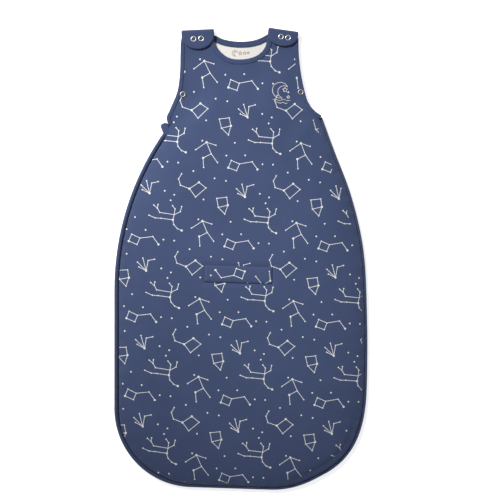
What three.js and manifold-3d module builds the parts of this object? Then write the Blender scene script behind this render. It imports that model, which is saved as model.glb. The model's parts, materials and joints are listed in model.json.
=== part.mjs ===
// A sleeveless padded baby sleeping bag lying on its back, built as separate sewn, snapped and zipped pieces.
// Millimetres. +Z up, +Y towards the head, +X to the viewer's right. The origin is on the resting surface,
// under the middle of the bag. Every fabric layer is its own closed sheet, stacked with a small air gap.
import * as THREE from "three";
import { mergeVertices } from "three/addons/utils/BufferGeometryUtils.js";
import Module from "manifold-3d";

const wasm = await Module();
wasm.setup();

// ---------------------------------------------------------------- driving dimensions
const GAP = 0.3; // air between neighbouring pieces
const SHELL = 0.8; // outer cotton
const PADDING = 3.0; // wadding
const LINING = 0.8; // inner jersey
const LAYING_GAP = 2.4; // between back lining and front lining at the seams
const RISE = 18; // how far the front stands up in the middle
const SIDE_REACH = 90; // how far in from a side seam the front reaches its full rise
const SHOULDER_REACH = 110;
const SHOULDER_FLAT = 44; // the front stays flat this far from a shoulder's fold
const SNAP_REACH = 55;
const SNAP_FLAT = 30; // and this far from an underarm snap
const NECK_REACH = 110;
const NECK_SHARE = 0.4; // share of the rise that is left at the neckline

const BAND = 9.5; // width of the rolled band outside the zip
const GROOVE = 7.4; // clear width between band and front panel
const PIPING = 4; // width of the seam roll on the closed side
const ZIP_LINE = BAND + GROOVE / 2; // the chain's centre, measured in from the outer edge
const FRONT_INSET = BAND + GROOVE;

// The zip side is an arc, a straight, a round corner and a straight run along the bottom.
const HIP = { x: 286.3, y: -60, r: 531.1, top: 36.5 };
const CORNER = { x: -92.8, y: -290, r: 152, turn: 88.1 };
const BOTTOM_RUN = 138;

// The closed side, from the end of the zip's run round to the right underarm.
const CLOSED_SIDE = [
  [78, -446.5], [112, -439.5], [152, -421.8], [189, -398], [217, -364], [233, -325], [241, -282], [244, -200],
  [243.5, -110], [238.5, 0], [227.5, 66], [208, 136], [181, 206], [155.8, 274.8],
];
const RIGHT_ARMHOLE = [
  [155.8, 274.8], [139, 287], [129, 301], [121.5, 326], [115, 358], [111, 395], [110.4, 426],
];
const LEFT_ARMHOLE = [
  [-115.8, 429.5], [-116.6, 395], [-117.6, 356], [-122.6, 322], [-132.5, 297], [-143, 272],
];
const FRONT_NECK = [
  [52.5, 429], [46.5, 407], [35, 394], [19, 386.5], [-2, 383.5], [-24, 387], [-43, 402], [-56, 421],
];
const BACK_NECK = [[52.5, 434.5], [41, 428], [25, 422], [2, 419.5], [-20, 421], [-38, 425.5], [-50, 432]];

// Shoulder flaps: the middle of the fold, the fold's slope in degrees, the flap's width and drop, and where
// its two snaps are along the fold and down from it.
const FLAPS = {
  left: { x: -83.7, y: 440.2, slope: 2.6, width: 63, drop: 33, snaps: [-8.5, 6.2], snapsDown: 17 },
  right: { x: 82, y: 440.1, slope: -8.2, width: 58.5, drop: 27, snaps: [-3.2, 10.6], snapsDown: 13.6 },
};
const FLAP_THICK = 4;
const FLAP_BACK = 4; // how far the flap's rolled end reaches past its hinge

const UNDERARM_SNAPS = { left: [-112.4, 316.8], right: [115, 321] };
const BELT = { x: -5.2, y: -31, slope: -1.6, width: 130, height: 33, slit: 104, slitHigh: 10 };

// The fold about which the lower left corner of the front opens: from near the underarm to the bottom.
const FOLD_TOP = [-162.6, 223.8];
const FOLD_FOOT = [0, -445.1];

// Layer heights. The back lies flat; the front's heights are at its seams, where the rise is 0.
const BACK = { shell: [0, SHELL] };
BACK.padding = [BACK.shell[1] + GAP, BACK.shell[1] + GAP + PADDING];
BACK.lining = [BACK.padding[1] + GAP, BACK.padding[1] + GAP + LINING];
const FRONT = { lining: [BACK.lining[1] + LAYING_GAP, BACK.lining[1] + LAYING_GAP + LINING] };
FRONT.padding = [FRONT.lining[1] + GAP, FRONT.lining[1] + GAP + PADDING];
FRONT.shell = [FRONT.padding[1] + GAP, FRONT.padding[1] + GAP + SHELL];
const TAPE = [BACK.lining[1] + GAP, BACK.lining[1] + GAP + 0.6];
const COIL = [TAPE[1] + GAP, TAPE[1] + GAP + 1.6];
const TRIM = [FRONT.shell[1] + GAP, FRONT.shell[1] + GAP + 1]; // bindings sewn on top of the front

// ---------------------------------------------------------------- materials
const fabric = (color, roughness = 0.9) => new THREE.MeshStandardMaterial({ color, roughness, metalness: 0 });
const metal = (color, roughness) => new THREE.MeshStandardMaterial({ color, roughness, metalness: 1 });
const NAVY = fabric(0x3f4f78);
const NAVY_TRIM = fabric(0x394870);
const IVORY = fabric(0xece6dd, 0.95);
const WADDING = fabric(0xf4f3ef, 1);
const ZIP_NAVY = fabric(0x2b3558, 0.6);
const SNAP_METAL = metal(0xcfc8b8, 0.35);
const SLIDER_METAL = metal(0x3a4463, 0.4);

// ---------------------------------------------------------------- small geometry helpers
const radians = THREE.MathUtils.degToRad;

// A closed three.js geometry as a solid.
function solid(geometry) {
  const bare = geometry.index ? geometry.toNonIndexed() : geometry.clone();
  bare.deleteAttribute("normal");
  bare.deleteAttribute("uv");
  const merged = mergeVertices(bare, 1e-4);
  return new wasm.Manifold(
    new wasm.Mesh({
      numProp: 3,
      vertProperties: merged.attributes.position.array,
      triVerts: new Uint32Array(merged.index.array),
    }),
  );
}

// A solid as a named three.js mesh.
function piece(name, body, material) {
  const { numProp, vertProperties, triVerts } = body.getMesh();
  const count = vertProperties.length / numProp;
  const position = new Float32Array(count * 3);
  for (let i = 0; i < count; i++) position.set(vertProperties.subarray(i * numProp, i * numProp + 3), i * 3);
  const geometry = new THREE.BufferGeometry();
  geometry.setAttribute("position", new THREE.BufferAttribute(position, 3));
  geometry.setIndex(new THREE.BufferAttribute(new Uint32Array(triVerts), 1));
  const mesh = new THREE.Mesh(geometry, material);
  mesh.name = name;
  return mesh;
}

// A flat outline raised between two heights.
function prism(points, low, high) {
  const drawn = points instanceof THREE.Shape;
  const shape = drawn ? points : new THREE.Shape(points.map(([x, y]) => new THREE.Vector2(x, y)));
  const made = new THREE.ExtrudeGeometry(shape, { depth: high - low, bevelEnabled: false, curveSegments: 10 });
  return solid(made.translate(0, 0, low));
}

function block(x0, x1, y0, y1, z0, z1) {
  const box = new THREE.BoxGeometry(x1 - x0, y1 - y0, z1 - z0);
  return solid(box.translate((x0 + x1) / 2, (y0 + y1) / 2, (z0 + z1) / 2));
}

// A flat ring or disc round a vertical axis.
function disc(x, y, z0, z1, outer, inner = 0, sides = 16) {
  const round = new THREE.CylinderGeometry(outer, outer, z1 - z0, sides).rotateX(Math.PI / 2);
  const body = solid(round.translate(x, y, (z0 + z1) / 2));
  return inner ? body.subtract(disc(x, y, z0 - 1, z1 + 1, inner, 0, sides)) : body;
}

const turned = (body, degrees, x, y) => body.rotate([0, 0, degrees]).translate([x, y, 0]);

const sampled = (points, count) =>
  new THREE.CatmullRomCurve3(points.map(([x, y]) => new THREE.Vector3(x, y, 0)), false, "centripetal")
    .getSpacedPoints(count)
    .map((p) => [p.x, p.y]);

// ---------------------------------------------------------------- the outer edge
// A place on the zip side, by its distance along the outer edge from the underarm, moved in by inset.
const HIP_LENGTH = HIP.r * radians(HIP.top);
const SIDE_LENGTH = HIP.y - CORNER.y;
const CORNER_LENGTH = CORNER.r * radians(CORNER.turn);
const ZIP_LENGTH = HIP_LENGTH + SIDE_LENGTH + CORNER_LENGTH + BOTTOM_RUN;

function zipSide(along, inset = 0) {
  if (along < HIP_LENGTH) {
    const angle = radians(HIP.top) - along / HIP.r;
    return [HIP.x - (HIP.r - inset) * Math.cos(angle), HIP.y + (HIP.r - inset) * Math.sin(angle)];
  }
  const past = along - HIP_LENGTH;
  if (past < SIDE_LENGTH) return [CORNER.x - CORNER.r + inset, HIP.y - past];
  const angle = Math.PI + Math.min(past - SIDE_LENGTH, CORNER_LENGTH) / CORNER.r;
  const run = Math.max(0, past - SIDE_LENGTH - CORNER_LENGTH);
  const radius = CORNER.r - inset;
  return [
    CORNER.x + radius * Math.cos(angle) - run * Math.sin(angle),
    CORNER.y + radius * Math.sin(angle) + run * Math.cos(angle),
  ];
}

const stations = (from, to, count) => Array.from({ length: count + 1 }, (_, i) => from + ((to - from) * i) / count);

const ZIP_FOOT = zipSide(ZIP_LENGTH);
const closedCurve = new THREE.CatmullRomCurve3(
  [ZIP_FOOT, ...CLOSED_SIDE].map(([x, y]) => new THREE.Vector3(x, y, 0)), false, "centripetal");
const CLOSED_LENGTH = closedCurve.getLength();

// A place on the closed side, by its distance from the end of the zip's run.
function closedSide(along, inset = 0) {
  const t = THREE.MathUtils.clamp(along / CLOSED_LENGTH, 0, 1);
  const at = closedCurve.getPointAt(t);
  const way = closedCurve.getTangentAt(t);
  return [at.x - way.y * inset, at.y + way.x * inset];
}

// A curve along one of those edges at equal stations, so that pieces at different insets keep matching facets.
class EdgeCurve extends THREE.Curve {
  constructor(edge, from, to) {
    super();
    Object.assign(this, { edge, from, to });
  }

  getPoint(t) {
    const [x, y] = this.edge(THREE.MathUtils.lerp(this.from, this.to, t));
    return new THREE.Vector3(x, y, 0);
  }

  getPointAt(t) {
    return this.getPoint(t);
  }

  getTangentAt(t) {
    const step = 0.01;
    const [x0, y0] = this.edge(THREE.MathUtils.lerp(this.from, this.to, t) - step);
    const [x1, y1] = this.edge(THREE.MathUtils.lerp(this.from, this.to, t) + step);
    return new THREE.Vector3(x1 - x0, y1 - y0, 0).normalize();
  }
}

// A strip whose section, given as [inset, height] points, follows an edge.
function strip(edge, from, to, step, section) {
  const shape = new THREE.Shape(section.map(([inset, height]) => new THREE.Vector2(-height, inset)));
  const extrudePath = new EdgeCurve(edge, from, to);
  const steps = Math.max(1, Math.round((to - from) / step));
  return solid(new THREE.ExtrudeGeometry(shape, { extrudePath, steps }));
}

const bar = (d0, d1, z0, z1) => [[d0, z0], [d1, z0], [d1, z1], [d0, z1]];

// ---------------------------------------------------------------- how far the front stands up
function distanceTo(line, x, y) {
  let best = Infinity;
  for (let i = 1; i < line.length; i++) {
    const [ax, ay] = line[i - 1];
    const [bx, by] = line[i];
    const across = (bx - ax) ** 2 + (by - ay) ** 2;
    const t = THREE.MathUtils.clamp(((x - ax) * (bx - ax) + (y - ay) * (by - ay)) / across, 0, 1);
    best = Math.min(best, Math.hypot(x - ax - t * (bx - ax), y - ay - t * (by - ay)));
  }
  return best;
}

const ZIP_STATIONS = stations(0, ZIP_LENGTH, 44);
const CLOSED_STATIONS = stations(1, CLOSED_LENGTH - 1, 30);
const sideSeams = [
  ...ZIP_STATIONS.map((s) => zipSide(s, FRONT_INSET)),
  ...CLOSED_STATIONS.map((s) => closedSide(s, PIPING + GAP)),
];
const frontNeck = sampled(FRONT_NECK, 14);

// A round rise from 0 at a seam to 1 at its reach.
const arch = (distance, reach) => Math.sqrt(1 - (1 - Math.min(distance / reach, 1)) ** 2);

function shoulderLine({ x, y, slope, width }, back) {
  const [c, s] = [Math.cos(radians(slope)), Math.sin(radians(slope))];
  const at = (u) => [x + u * c + back * s, y + u * s - back * c];
  return [at(-width / 2), at(width / 2)];
}

const beyond = (flat, distance) => Math.max(0, distance - flat);

// How far the front stands above its seams.
function rise(x, y) {
  const sides = arch(distanceTo(sideSeams, x, y), SIDE_REACH);
  const fromShoulder = Math.min(...Object.values(FLAPS).map((flap) => distanceTo(shoulderLine(flap, 0), x, y)));
  const shoulders = arch(beyond(SHOULDER_FLAT, fromShoulder), SHOULDER_REACH);
  const snaps = Object.values(UNDERARM_SNAPS)
    .map(([sx, sy]) => arch(beyond(SNAP_FLAT, Math.hypot(x - sx, y - sy)), SNAP_REACH))
    .reduce((a, b) => a * b);
  const neck = NECK_SHARE + (1 - NECK_SHARE) * arch(distanceTo(frontNeck, x, y), NECK_REACH);
  return RISE * sides * shoulders * snaps * neck;
}

// The front's surface is faceted along these lines, which pass clear of the flaps, the snaps and the belt slot.
const GRID_X = [-300, -235, -200, -165, -132, -98, -50, 0, 50, 98, 132, 165, 200, 235, 300];
const GRID_Y = [
  -500, -440, -400, -360, -315, -270, -220, -170, -120, -70, -20,
  30, 80, 130, 175, 215, 255, 298, 342, 372, 402, 455,
];

// Everything under the front's surface moved up by offset.
const under = new Map();
function underFront(offset) {
  if (!under.has(offset)) {
    const [columns, rows] = [GRID_X.length - 1, GRID_Y.length - 1];
    const box = new THREE.BoxGeometry(columns, rows, 1, columns, rows, 1);
    const p = box.attributes.position;
    for (let i = 0; i < p.count; i++) {
      const x = GRID_X[Math.round(p.getX(i) + columns / 2)];
      const y = GRID_Y[Math.round(p.getY(i) + rows / 2)];
      p.setXYZ(i, x, y, p.getZ(i) > 0 ? rise(x, y) + offset : -60);
    }
    under.set(offset, solid(box));
  }
  return under.get(offset);
}

// A sheet that follows the front's surface between two heights, inside a flat outline.
const sheet = (outline, [low, high]) =>
  prism(outline, -50, 100).intersect(underFront(high)).subtract(underFront(low));

// ---------------------------------------------------------------- panel outlines, anticlockwise
const STRAP_CUT = 8.6; // where the shoulder straps stop short of the fold
function panelOutline(neck, zipInset, sideInset, seam = 0) {
  const inner = (points) => shiftedIn(points, seam);
  return [
    ...ZIP_STATIONS.map((s) => zipSide(s, zipInset)),
    ...CLOSED_STATIONS.map((s) => closedSide(s, sideInset)),
    ...inner(sampled(RIGHT_ARMHOLE, 12)),
    ...shoulderLine(FLAPS.right, STRAP_CUT + seam).reverse().map(([x, y], i) => [x + (i ? 3 + seam : -1 - seam), y]),
    ...inner(sampled(neck, 14).slice(1, -1)),
    ...shoulderLine(FLAPS.left, STRAP_CUT + seam).reverse().map(([x, y], i) => [x + (i ? 1 + seam : -3 - seam), y]),
    ...inner(sampled(LEFT_ARMHOLE, 12).slice(1)),
  ];
}

// The same run of points moved to the left of its direction of travel.
function shiftedIn(points, distance) {
  if (!distance) return points;
  return points.map(([x, y], i) => {
    const [ax, ay] = points[Math.max(0, i - 1)];
    const [bx, by] = points[Math.min(points.length - 1, i + 1)];
    const length = Math.hypot(bx - ax, by - ay);
    return [x - ((by - ay) / length) * distance, y + ((bx - ax) / length) * distance];
  });
}

const SEAM = 6; // wadding stops this far from a bound edge
const frontOutline = panelOutline(FRONT_NECK, FRONT_INSET, PIPING + GAP);
const frontInner = panelOutline(FRONT_NECK, FRONT_INSET + 3, PIPING + GAP + 3, SEAM);
const backOutline = panelOutline(BACK_NECK, 0, PIPING + GAP);
const backInner = panelOutline(BACK_NECK, FRONT_INSET + 10, PIPING + GAP + 3, SEAM);

// ---------------------------------------------------------------- the belt slots
const beltAt = (u, v) => {
  const [c, s] = [Math.cos(radians(BELT.slope)), Math.sin(radians(BELT.slope))];
  return [BELT.x + u * c - v * s, BELT.y + u * s + v * c];
};
const SLIT_MIDDLE = -1; // the slit's place up from the middle of the flap
function beltRectangle(width, height, middle) {
  const [w, h] = [width / 2, height / 2];
  return [beltAt(-w, middle - h), beltAt(w, middle - h), beltAt(w, middle + h), beltAt(-w, middle + h)];
}
const slit = prism(beltRectangle(BELT.slit, BELT.slitHigh, SLIT_MIDDLE), -50, 100);
const welt = (low, high) =>
  prism(beltRectangle(BELT.slit + 12, BELT.slitHigh + 7, SLIT_MIDDLE), low, high).subtract(slit);

// ---------------------------------------------------------------- the opening corner
const FOLD_WAY = new THREE.Vector2(FOLD_FOOT[0] - FOLD_TOP[0], FOLD_FOOT[1] - FOLD_TOP[1]).normalize();
const [CUT_LOW, CUT_HIGH] = [-60, 110]; // well below and above every layer
const UNDERARM_STEP = { from: -9, to: 10, out: 30 }; // a squared end to the cut, past the fold's top
const FOOT_STEP = 20; // the same past its foot

// Everything on the opening side of the fold, moved off it by a gap (positive shrinks the side).
function openingSide(gap) {
  const reach = 600; // beyond the bag
  const flare = 40;
  const at = (along, out) => [
    FOLD_TOP[0] + FOLD_WAY.x * along + FOLD_WAY.y * (out + gap),
    FOLD_TOP[1] + FOLD_WAY.y * along - FOLD_WAY.x * (out + gap),
  ];
  const foldLength = Math.hypot(FOLD_FOOT[0] - FOLD_TOP[0], FOLD_FOOT[1] - FOLD_TOP[1]);
  const { from, to, out } = UNDERARM_STEP;
  const side = [at(0, 0), at(-flare, reach), at(foldLength + flare, reach), at(foldLength + FOOT_STEP, 0)];
  const step = [at(from, 0), at(from, out), at(to, out), at(to, 0)];
  return prism(side, CUT_LOW, CUT_HIGH).add(prism(step, CUT_LOW, CUT_HIGH));
}
const opening = openingSide(GAP);
const staying = openingSide(-GAP);

const group = new THREE.Group();
const add = (name, body, material) => group.add(piece(name, body, material));

// Splits a front layer at the fold into the panel that stays and the corner that opens.
function addFrontLayer(name, body, material) {
  add(`front_${name}`, largest(body.subtract(staying)), material);
  add(`corner_${name}`, largest(body.intersect(opening)), material);
}

const largest = (body) => body.decompose().reduce((a, b) => (a.volume() > b.volume() ? a : b));

// ---------------------------------------------------------------- snaps
const SNAP = {
  cap: 5.3, hole: 3.1, high: 1, // the visible ring: radii and height
  socket: 4.9, socketHole: 3, socketHigh: 1.4,
  post: 2.1, stem: 1.4,
};
const studHigh = 0.8;
const FLAP_LIFT = studHigh + SNAP.socketHigh + 3 * GAP; // from the front's surface up to the flap

// Where a shoulder's snaps are, in the bag's frame.
function flapSnaps({ x, y, slope, snaps, snapsDown }) {
  const [c, s] = [Math.cos(radians(slope)), Math.sin(radians(slope))];
  return snaps.map((u) => [x + u * c + snapsDown * s, y + u * s - snapsDown * c]);
}
const shoulderSnaps = Object.fromEntries(Object.entries(FLAPS).map(([side, flap]) => [side, flapSnaps(flap)]));
const allShoulderSnaps = Object.values(shoulderSnaps).flat();

// A cap: an open ring with a rolled edge.
function ringCap(x, y, z) {
  const { cap, hole, high } = SNAP;
  const edge = 0.3;
  const section = [
    [hole, 0], [cap, 0], [cap, high - edge], [cap - edge, high], [hole + edge, high], [hole, high - edge],
  ];
  const points = [...section, section[0]].map(([r, h]) => new THREE.Vector2(r, h));
  return solid(new THREE.LatheGeometry(points, 16).rotateX(Math.PI / 2)).translate([x, y, z]);
}

const snapHoles = (places, radius, sides = 8) =>
  places.map(([x, y]) => disc(x, y, -50, 100, radius, 0, sides)).reduce((a, b) => a.add(b));
const stemHoles = snapHoles([...allShoulderSnaps, ...Object.values(UNDERARM_SNAPS)], SNAP.stem + GAP);

// ---------------------------------------------------------------- front panel
addFrontLayer("outer_shell", sheet(frontOutline, FRONT.shell).subtract(slit).subtract(stemHoles), NAVY);
addFrontLayer("padding", sheet(frontInner, FRONT.padding).subtract(slit).subtract(stemHoles), WADDING);
addFrontLayer("lining", sheet(frontOutline, FRONT.lining).subtract(slit).subtract(stemHoles), IVORY);

// ---------------------------------------------------------------- back panel
const backRecess = snapHoles(Object.values(UNDERARM_SNAPS), SNAP.cap + GAP, 16);
add("back_outer_shell", prism(backOutline, ...BACK.shell).subtract(slit).subtract(backRecess), NAVY);
add("back_padding", prism(backInner, ...BACK.padding).subtract(slit).subtract(stemHoles), WADDING);
const liningOutline = panelOutline(BACK_NECK, FRONT_INSET + 10, PIPING + GAP);
add("back_lining", prism(liningOutline, ...BACK.lining).subtract(slit).subtract(stemHoles), IVORY);

// ---------------------------------------------------------------- bindings
function bindingOutline(points, width) {
  return [...points, ...shiftedIn(points, width).reverse()];
}
const NECK_BINDING = 11;
const ARM_BINDING = 8;
const backTrim = [BACK.lining[1] + GAP, BACK.lining[1] + GAP + 1.2];
const armRight = sampled(RIGHT_ARMHOLE, 12);
const armLeft = sampled(LEFT_ARMHOLE, 12);
const flat = (outline, [low, high]) => prism(outline, low, high);
const clearOfSnaps = snapHoles(Object.values(UNDERARM_SNAPS), SNAP.cap + 2 * GAP);
add("front_neck_binding", sheet(bindingOutline(frontNeck.slice(2, -2), NECK_BINDING), TRIM), NAVY_TRIM);
const backNeckOutline = bindingOutline(sampled(BACK_NECK, 14).slice(1, -1), NECK_BINDING + 1);
add("back_neck_binding", flat(backNeckOutline, backTrim), NAVY_TRIM);
for (const [side, line] of [["right", armRight.slice(1, 9)], ["left", armLeft.slice(4, 11)]]) {
  const outline = bindingOutline(line, ARM_BINDING);
  add(`${side}_armhole_binding_front`, largest(sheet(outline, TRIM).subtract(clearOfSnaps)), NAVY_TRIM);
  add(`${side}_armhole_binding_back`, largest(flat(outline, backTrim).subtract(clearOfSnaps)), NAVY_TRIM);
}

// ---------------------------------------------------------------- side band, piping and zip
const edgeTop = FRONT.shell[1];
const tapeSlot = [TAPE[0] - GAP, TAPE[1] + GAP];
const bandSection = [
  [1.5, BACK.shell[1] + GAP], [BAND, BACK.shell[1] + GAP],
  [BAND, tapeSlot[0]], [1.7, tapeSlot[0]], [1.7, tapeSlot[1]],
  [BAND, tapeSlot[1]], [BAND, edgeTop - 1.6], [BAND - 2, edgeTop], [3, edgeTop], [0, edgeTop - 3], [0, 3],
];
const ZIP_STEP = 16;
add("zip_side_band", strip(zipSide, 0, ZIP_LENGTH, ZIP_STEP, bandSection), NAVY_TRIM);
const pipingSection = [
  [1, 0], [PIPING - 0.6, 0], [PIPING, 1], [PIPING, edgeTop - 1],
  [PIPING - 0.8, edgeTop], [1.2, edgeTop], [0, edgeTop - 2], [0, 2],
];
const closedStep = CLOSED_STATIONS[1] - CLOSED_STATIONS[0];
add("closed_side_piping", strip(closedSide, 1, CLOSED_LENGTH - 1, closedStep, pipingSection), NAVY_TRIM);

const CHAIN_END = ZIP_LENGTH - 22; // the tape runs on past the chain's lower stop
const CHAIN_START = 7;
const TAPE_IN = 8.3; // how far each tape reaches from the chain
const half = GAP / 2;
const tapeBack = strip(zipSide, 2, ZIP_LENGTH - 1, ZIP_STEP, bar(ZIP_LINE - TAPE_IN, ZIP_LINE - half, ...TAPE));
const tapeFront = strip(zipSide, 2, ZIP_LENGTH - 1, ZIP_STEP, bar(ZIP_LINE + half, ZIP_LINE + TAPE_IN, ...TAPE));
const COIL_WIDE = 1.75;
const chain = (section) => strip(zipSide, CHAIN_START, CHAIN_END, ZIP_STEP, section);
const coilBack = chain(bar(ZIP_LINE - half - COIL_WIDE, ZIP_LINE - half, ...COIL));
const coilFront = chain(bar(ZIP_LINE + half, ZIP_LINE + half + COIL_WIDE, ...COIL));
add("zip_tape_back", tapeBack, ZIP_NAVY);
add("zip_coil_back", coilBack, ZIP_NAVY);
// The front half of the zip opens with the corner; its two ends, where the sliders rest, stay.
for (const [name, body] of [["zip_tape_front", tapeFront], ["zip_coil_front", coilFront]]) {
  add(name, largest(body.intersect(opening)), ZIP_NAVY);
  const ends = body.subtract(staying).decompose().sort((a, b) => b.boundingBox().max[1] - a.boundingBox().max[1]);
  add(`${name}_upper_end`, ends[0], ZIP_NAVY);
  add(`${name}_lower_end`, ends[ends.length - 1], ZIP_NAVY);
}
const STOP = [COIL[0], COIL[1] + 0.6];
const stop = (from) => strip(zipSide, from, from + 2.4, 2.4, bar(ZIP_LINE - 2.2, ZIP_LINE + 2.2, ...STOP));
add("zip_top_stop", stop(CHAIN_START - 3), SLIDER_METAL);
add("zip_bottom_stop", stop(CHAIN_END + 0.6), SLIDER_METAL);

// ---------------------------------------------------------------- zip sliders
const SLIDER = { long: 9.5, wide: 6.6, plate: 1.2, flange: 1.1, bridge: 1.8 };
const PULL = { long: 20, wide: 5, thick: 1.2, slot: 2.4, eye: 2.2 };
const sliderTop = COIL[1] + GAP; // underside of the slider's top plate
const pullAxis = sliderTop + SLIDER.plate + GAP + PULL.thick / 2;
const PULL_AT = 3.2; // the pull's pivot, along the slider from its middle

// A slider in its own frame: +X along the chain towards its pull, Z as in the bag.
function sliderBody() {
  const [l, w] = [SLIDER.long / 2, SLIDER.wide / 2];
  const plate = block(-l, l, -w, w, sliderTop, sliderTop + SLIDER.plate);
  const flanges = [-1, 1].map((side) => {
    const [a, b] = [side * w, side * (w - SLIDER.flange)].sort((p, q) => p - q);
    return block(-l, l, a, b, COIL[0], sliderTop + 0.1);
  });
  const bridge = block(-2.5, PULL_AT + 1, -SLIDER.bridge / 2, SLIDER.bridge / 2, sliderTop + 0.1, pullAxis + 1);
  return [plate, ...flanges, bridge].reduce((a, b) => a.add(b));
}
const sliderUnderplate = () =>
  block(
    -SLIDER.long / 2, SLIDER.long / 2, -SLIDER.wide / 2, SLIDER.wide / 2,
    TAPE[0] - GAP - SLIDER.plate, TAPE[0] - GAP,
  );
function pullTab() {
  const [t, w] = [PULL.thick / 2, PULL.wide / 2];
  const tab = block(PULL_AT - t, PULL_AT + PULL.long, -w, w, pullAxis - t, pullAxis + t);
  const eye = block(PULL_AT - 2, PULL_AT + PULL.eye, -PULL.slot / 2, PULL.slot / 2, 0, 50);
  const tip = disc(PULL_AT + PULL.long - 3.2, 0, 0, 50, 1.2, 0, 10);
  return tab.subtract(eye).subtract(tip);
}

// A slider's place: its distance along the outer edge, and whether its pull points on or back.
function sliderPlace(along, towards) {
  const [x, y] = zipSide(along, ZIP_LINE);
  const [bx, by] = zipSide(along + towards, ZIP_LINE);
  return { x, y, angle: THREE.MathUtils.radToDeg(Math.atan2(by - y, bx - x)) };
}
const SLIDERS = { upper: sliderPlace(17, 1), lower: sliderPlace(CHAIN_END - 6.5, 1) };
for (const [name, { x, y, angle }] of Object.entries(SLIDERS)) {
  const place = (body) => turned(body, angle, x, y);
  add(`${name}_slider`, place(sliderBody()), SLIDER_METAL);
  add(`${name}_slider_underplate`, place(sliderUnderplate()), SLIDER_METAL);
  add(`${name}_zip_pull`, place(pullTab()), SLIDER_METAL);
}

// The garage: a folded tab over the zip's top end, hinged at the end nearer the armhole.
const GARAGE = { x: -150.2, y: 261.5, angle: -68, long: 27, wide: 15, thick: 1.8 };
function garage() {
  const { long, wide, thick, x, y, angle } = GARAGE;
  const shape = new THREE.Shape();
  const w = wide / 2;
  shape.moveTo(0.6, -w);
  shape.lineTo(long - w, -w);
  shape.absarc(long - w, 0, w, -Math.PI / 2, Math.PI / 2, false);
  shape.lineTo(0.6, w);
  const z = TRIM[0];
  return turned(prism(shape, z, z + thick), angle, x, y);
}
add("zip_garage", garage(), NAVY_TRIM);

// ---------------------------------------------------------------- shoulder flaps and snaps
const FLAP_LOW = FRONT.shell[1] + FLAP_LIFT;
const FLAP_HINGE_Z = 11;

// A flap in its own frame: X along the fold, Y out of the bag, the hinge at Y = 0.
function flapBody({ width, drop }) {
  const shape = new THREE.Shape();
  const w = width / 2;
  shape.moveTo(w, FLAP_BACK);
  shape.lineTo(-w, FLAP_BACK);
  shape.lineTo(-w, -2);
  shape.absellipse(0, -6, w, drop - 6, Math.PI, 2 * Math.PI, false);
  shape.lineTo(w, -2);
  const plate = prism(shape, FLAP_LOW, FLAP_LOW + FLAP_THICK);
  return plate.add(block(-w, w, 0, FLAP_BACK, FLAP_HINGE_Z - 2, FLAP_LOW + 1));
}

for (const [side, flap] of Object.entries(FLAPS)) {
  const { x, y, slope } = flap;
  const hingeX = x + FLAP_BACK * Math.sin(radians(slope));
  const hingeY = y - FLAP_BACK * Math.cos(radians(slope));
  const holes = snapHoles(shoulderSnaps[side], SNAP.stem + GAP);
  add(`${side}_shoulder_flap`, turned(flapBody(flap), slope, hingeX, hingeY).subtract(holes), NAVY);
  shoulderSnaps[side].forEach(([sx, sy], i) => {
    const label = `${side}_shoulder_snap_${i + 1}`;
    const { socket, socketHole, socketHigh, post, stem } = SNAP;
    const socketZ = FLAP_LOW - GAP - socketHigh;
    const studZ = FRONT.shell[1] + GAP;
    add(`${label}_cap`, ringCap(sx, sy, FLAP_LOW + FLAP_THICK + GAP), SNAP_METAL);
    add(`${label}_socket`, disc(sx, sy, socketZ, socketZ + socketHigh, socket, socketHole), SNAP_METAL);
    const stud = disc(sx, sy, studZ, studZ + studHigh, socket)
      .add(disc(sx, sy, studZ, studZ + studHigh + socketHigh, post, 0, 12))
      .add(disc(sx, sy, FRONT.lining[0] - GAP - 0.9, studZ + 0.1, stem, 0, 10))
      .add(disc(sx, sy, FRONT.lining[0] - GAP - 0.9, FRONT.lining[0] - GAP, socket));
    add(`${label}_stud`, stud, SNAP_METAL);
  });
}

// Underarm snaps: cap and socket on the front's edge, stud and flush ring on the back's.
for (const [side, [x, y]] of Object.entries(UNDERARM_SNAPS)) {
  const label = `${side}_underarm_snap`;
  const socketZ = FRONT.lining[0] - GAP - 0.7;
  const studBase = BACK.lining[1] + GAP;
  add(`${label}_cap`, ringCap(x, y, FRONT.shell[1] + GAP + rise(x, y)), SNAP_METAL);
  add(`${label}_socket`, disc(x, y, socketZ, socketZ + 0.7, SNAP.socket, SNAP.post + 2 * GAP), SNAP_METAL);
  const stud = disc(x, y, studBase, studBase + 0.5, SNAP.socket)
    .add(disc(x, y, studBase, socketZ + 0.5, SNAP.post, 0, 12))
    .add(disc(x, y, 0.1, studBase + 0.1, SNAP.stem, 0, 10))
    .add(disc(x, y, 0, 0.8, SNAP.cap));
  add(`${label}_stud`, stud, SNAP_METAL);
}

// ---------------------------------------------------------------- belt slot flap, welts and closure
const frontTop = FRONT.shell[1] + RISE;
const FLAP_ABOVE = 3 * GAP + 1.8; // over the closure's two strips
const stripHigh = 0.9;
add("belt_slot_welt_front", welt(frontTop + GAP, frontTop + GAP + stripHigh), NAVY_TRIM);
add("belt_slot_welt_back", welt(BACK.lining[1] + GAP, BACK.lining[1] + GAP + stripHigh), NAVY_TRIM);
const closure = (low) => prism(beltRectangle(BELT.slit - 8, 5.5, BELT.height / 2 - 4), low, low + stripHigh);
add("belt_flap_loop_strip", closure(frontTop + GAP), NAVY_TRIM);
add("belt_flap_hook_strip", closure(frontTop + 2 * GAP + stripHigh), NAVY_TRIM);
const beltFlap = prism(
  beltRectangle(BELT.width, BELT.height - 0.6, 0.3), frontTop + FLAP_ABOVE, frontTop + FLAP_ABOVE + 1.8);
add("belt_flap", beltFlap, NAVY);

export default group;
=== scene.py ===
"""Looks for a padded baby sleeping bag with a star-line print, lying flat on its back.

Sizes in this file are in millimetres until a mesh is made. Outlines come from the frame's own sheets.
"""

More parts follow.
